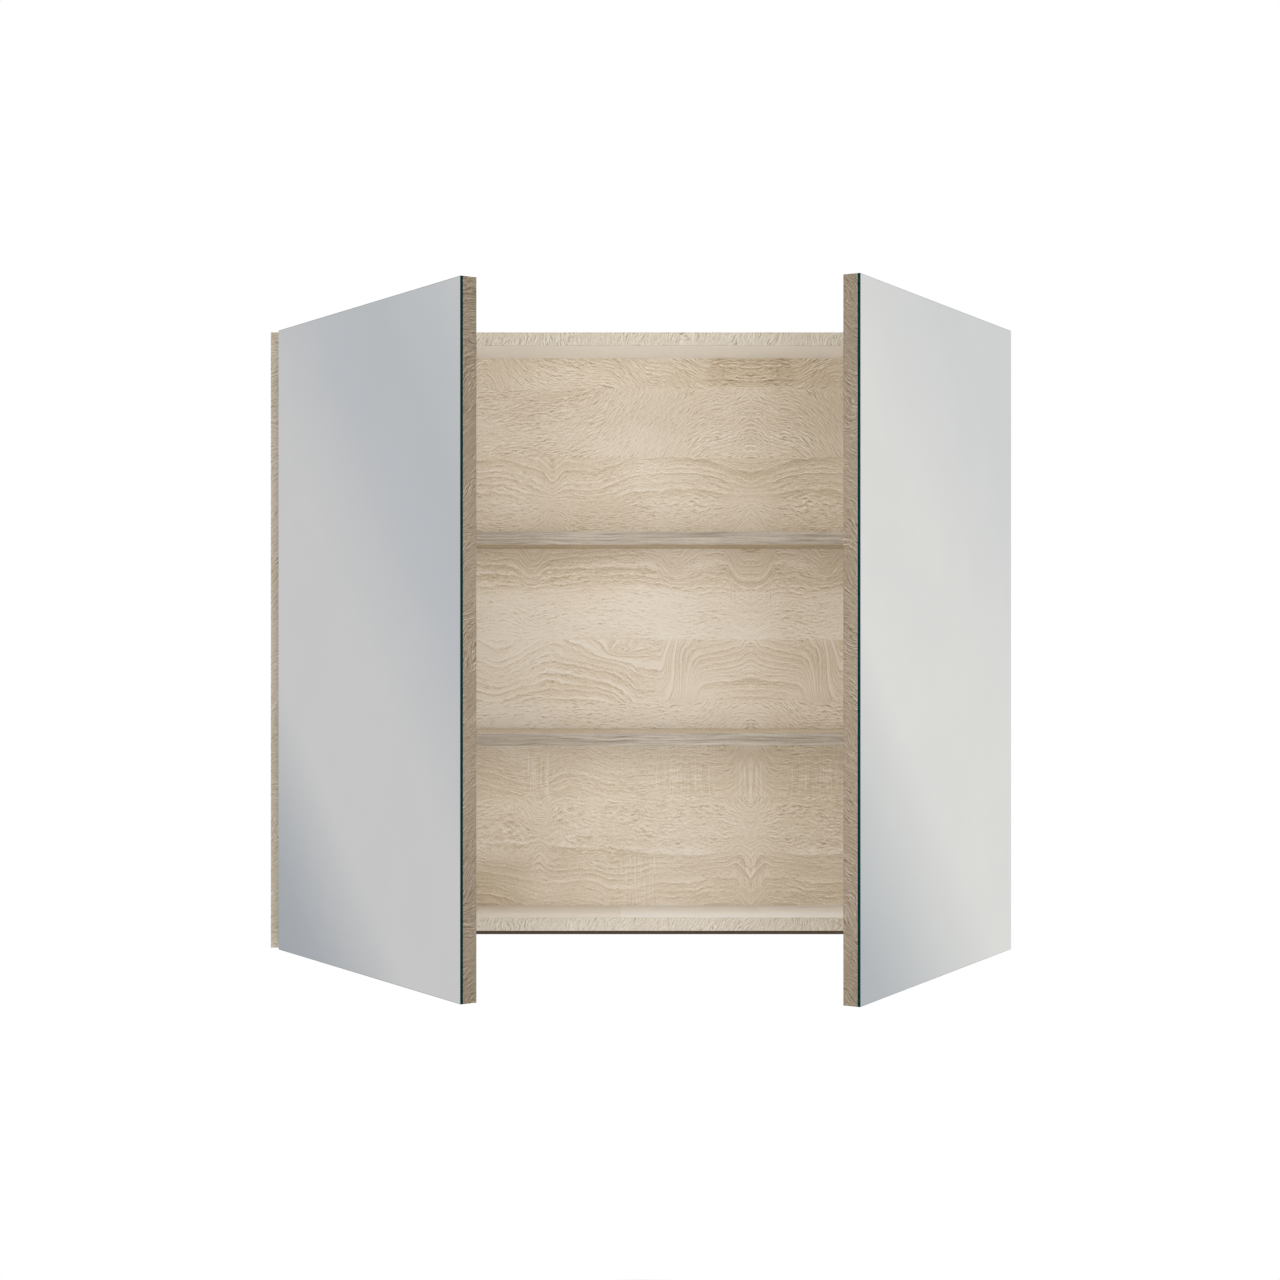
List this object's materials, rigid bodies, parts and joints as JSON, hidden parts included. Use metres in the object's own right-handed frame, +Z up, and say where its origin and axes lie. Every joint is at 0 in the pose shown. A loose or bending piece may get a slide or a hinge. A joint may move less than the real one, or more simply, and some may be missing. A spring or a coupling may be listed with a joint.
{
  "type": "mirror cabinet",
  "caption": "Wall-hung bathroom mirror cabinet in pale oak board: mirror doors on concealed cup hinges, adjustable shelves, hanging eyes in the rear edges and a finger recess below.",
  "frame": {"origin": "midway between the two hanging-eye holes, on the plane of the wall (rear edges of the side panels)", "axes": "+X to the right as seen from the room, +Y into the wall, +Z up"},
  "size_m": [0.9, 0.5364, 0.75],
  "materials": {
    "oak_board": "pale sawn oak pattern on melamine-faced chipboard, matt",
    "oak_edge": "pale oak pattern edge banding, matt",
    "oak_back": "pale oak pattern printed on thin fibreboard, matt",
    "mirror": "silvered float glass with a fine polished arris and green edges",
    "plated_steel": "nickel-plated steel",
    "die_cast": "bare zinc die casting",
    "beech": "turned beech",
    "cap_plastic": "oak-coloured plastic",
    "buffer": "clear soft plastic"
  },
  "bodies": {
    "carcass": {"left_side_panel": "oak_board", "right_side_panel": "oak_board", "top_panel": "oak_board", "bottom_panel": "oak_board", "back_panel": "oak_back", "shelf_upper": "oak_board", "shelf_lower": "oak_board", "left_side_edge_band": "oak_edge", "right_side_edge_band": "oak_edge", "top_edge_band": "oak_edge", "bottom_edge_band": "oak_edge", "shelf_upper_edge_band": "oak_edge", "shelf_lower_edge_band": "oak_edge", "shelf_pins_upper": "plated_steel", "shelf_pins_lower": "plated_steel", "wood_dowels": "beech", "cam_bolts": "plated_steel", "cam_housings": "die_cast", "cam_cover_caps": "cap_plastic", "hanging_eye_plates": "plated_steel", "hanging_eye_screws": "plated_steel", "left_hinge_plates": "plated_steel", "left_hinge_plate_screws": "plated_steel", "left_hinge_arms": "plated_steel", "left_hinge_arm_screws": "plated_steel", "left_hinge_arm_pins": "plated_steel", "right_hinge_plates": "plated_steel", "right_hinge_plate_screws": "plated_steel", "right_hinge_arms": "plated_steel", "right_hinge_arm_screws": "plated_steel", "right_hinge_arm_pins": "plated_steel"},
    "left_links": {"left_hinge_links": "plated_steel"},
    "left_door": {"left_door_board": "oak_board", "left_door_edge_band": "oak_edge", "left_mirror": "mirror", "left_hinge_cups": "plated_steel", "left_hinge_cup_pins": "plated_steel", "left_hinge_cup_screws": "plated_steel", "left_door_buffers": "buffer"},
    "right_links": {"right_hinge_links": "plated_steel"},
    "right_door": {"right_door_board": "oak_board", "right_door_edge_band": "oak_edge", "right_mirror": "mirror", "right_hinge_cups": "plated_steel", "right_hinge_cup_pins": "plated_steel", "right_hinge_cup_screws": "plated_steel", "right_door_buffers": "buffer"}
  },
  "joints": [
    {"name": "left_hinge_link_turn", "type": "hinge", "parent": "carcass", "child": "left_links", "pos_m": [-0.41168, -0.12156, -0.315], "axis": [0, 0, 1], "range_deg": [-55.67, 36.37]},
    {"name": "left_door_swing", "type": "hinge", "parent": "left_links", "child": "left_door", "pos_m": [-0.41787, -0.1509, -0.315], "axis": [0, 0, -1], "range_deg": [-111.3, 72.7]},
    {"name": "right_hinge_link_turn", "type": "hinge", "parent": "carcass", "child": "right_links", "pos_m": [0.40635, -0.12249, -0.315], "axis": [0, 0, -1], "range_deg": [-35.96, 19.28]},
    {"name": "right_door_swing", "type": "hinge", "parent": "right_links", "child": "right_door", "pos_m": [0.42811, -0.14878, -0.315], "axis": [0, 0, 1], "range_deg": [-95.84, 51.36]}
  ],
  "couplings": [
    {"joint": "left_hinge_link_turn", "follows": "left_door_swing", "ratio": 0.5},
    {"joint": "right_hinge_link_turn", "follows": "right_door_swing", "ratio": 0.375}
  ]
}
